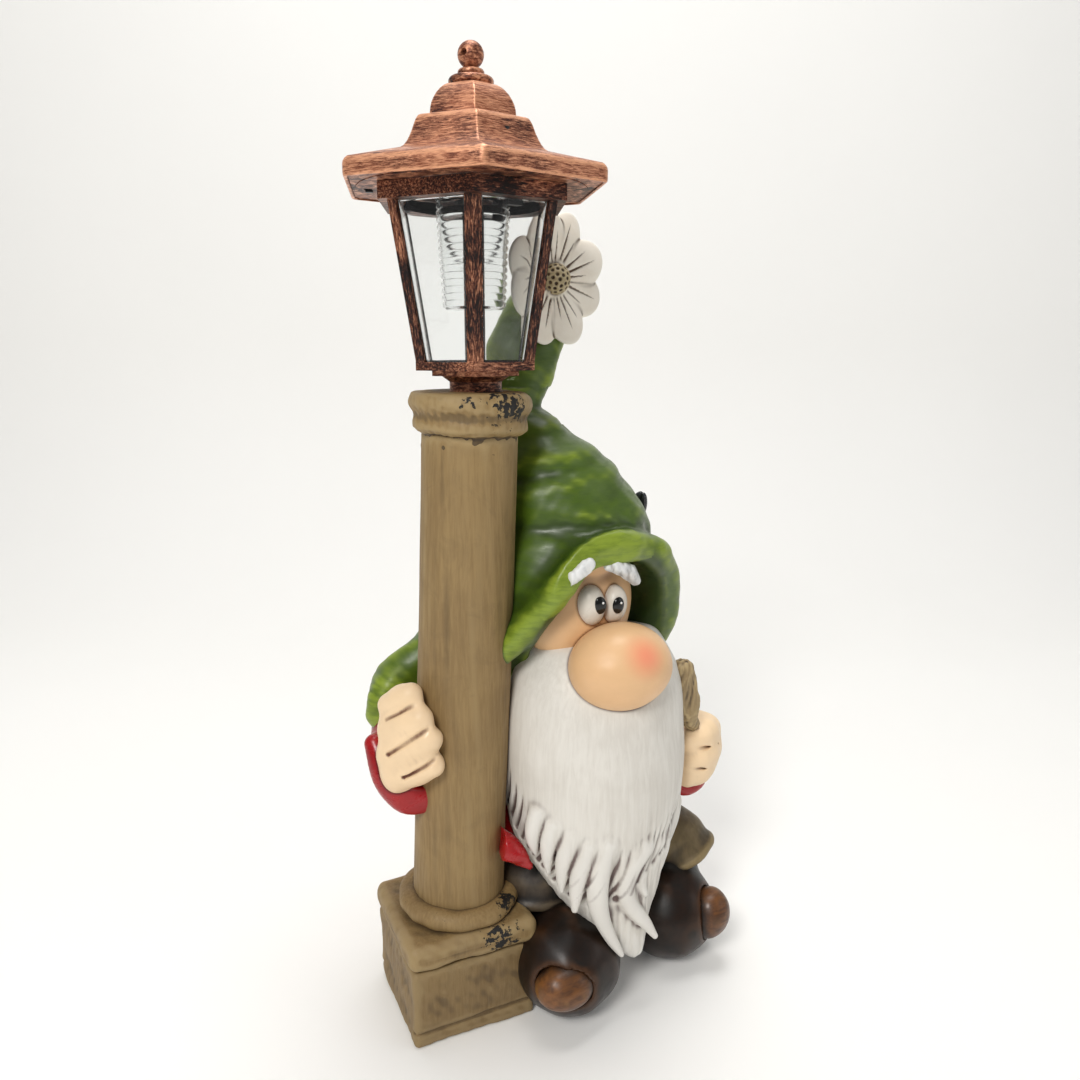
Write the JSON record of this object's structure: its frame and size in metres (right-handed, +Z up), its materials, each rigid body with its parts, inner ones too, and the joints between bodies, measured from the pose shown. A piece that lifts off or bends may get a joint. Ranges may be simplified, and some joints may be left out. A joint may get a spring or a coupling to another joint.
{
  "type": "garden gnome with solar lantern",
  "caption": "Bearded garden gnome in a floppy flowered hat, hugging a leaning column that carries a plug-in hexagonal solar lantern.",
  "frame": {"origin": "centre of the column plinth's square resting face, on the ground", "axes": "+Z up, the gnome faces -Y, the column stands on the -X side (the gnome's right)"},
  "size_m": [0.2045, 0.1489, 0.4774],
  "materials": {
    "column_paint": "matte",
    "hat_paint": "satin",
    "petal_paint": "matte",
    "heart_paint": "matte",
    "black_gloss": "gloss",
    "skin_paint": "satin",
    "eye_white": "gloss",
    "beard_paint": "matte",
    "coat_paint": "satin",
    "trouser_paint": "matte",
    "boot_paint": "satin",
    "toe_paint": "satin",
    "handle_paint": "matte",
    "copper_paint": "satin",
    "clear_plastic": "gloss",
    "solar_blue": "gloss",
    "board_green": "satin",
    "led_lens": "gloss",
    "battery_wrap": "gloss",
    "bright_metal": "satin",
    "black_plastic": "satin"
  },
  "bodies": {
    "figure": {"plinth_block": "column_paint", "plinth_slab": "column_paint", "column_foot_ring": "column_paint", "column_shaft": "column_paint", "column_capital": "column_paint", "hat_crown": "hat_paint", "hat_drape": "hat_paint", "hat_tip": "hat_paint", "hat_flower": "petal_paint", "flower_heart": "heart_paint", "hat_leaf": "black_gloss", "pupils": "black_gloss", "face": "skin_paint", "nose": "skin_paint", "right_hand": "skin_paint", "left_hand": "skin_paint", "eyes": "eye_white", "beard": "beard_paint", "eyebrows": "beard_paint", "coat": "coat_paint", "right_sleeve": "coat_paint", "left_sleeve": "coat_paint", "right_trouser": "trouser_paint", "left_trouser": "trouser_paint", "right_boot": "boot_paint", "left_boot": "boot_paint", "right_toe": "toe_paint", "left_toe": "toe_paint", "wooden_handle": "handle_paint"},
    "lantern": {"lantern_spigot": "copper_paint", "lantern_base": "copper_paint", "lantern_cage": "copper_paint", "lantern_panes": "clear_plastic"},
    "roof": {"roof_shell": "copper_paint", "roof_pillars": "copper_paint", "soffit_ring": "copper_paint", "module_tray": "copper_paint", "bayonet_lugs": "copper_paint", "finial_rings": "copper_paint", "finial_ball": "copper_paint", "battery_cover": "copper_paint", "diffuser_tube": "clear_plastic", "solar_cover": "clear_plastic", "solar_cell": "solar_blue", "circuit_board": "board_green", "led": "led_lens", "battery": "battery_wrap", "battery_contacts": "bright_metal", "tray_screws": "bright_metal", "switch_housing": "bright_metal"},
    "switch": {"switch_slider": "black_plastic"}
  },
  "joints": [
    {"name": "lantern_lift", "type": "slide", "parent": "figure", "child": "lantern", "axis": [0, 0, 1], "range_m": [0, 0.03]},
    {"name": "roof_twist", "type": "hinge", "parent": "lantern", "child": "roof", "pos_m": [0.016, -0.0028, 0.415], "axis": [0, 0, 1], "range_deg": [0, 25]},
    {"name": "switch_slide", "type": "slide", "parent": "roof", "child": "switch", "axis": [-0.4131, -0.9107, 0], "range_m": [0, 0.003]}
  ]
}
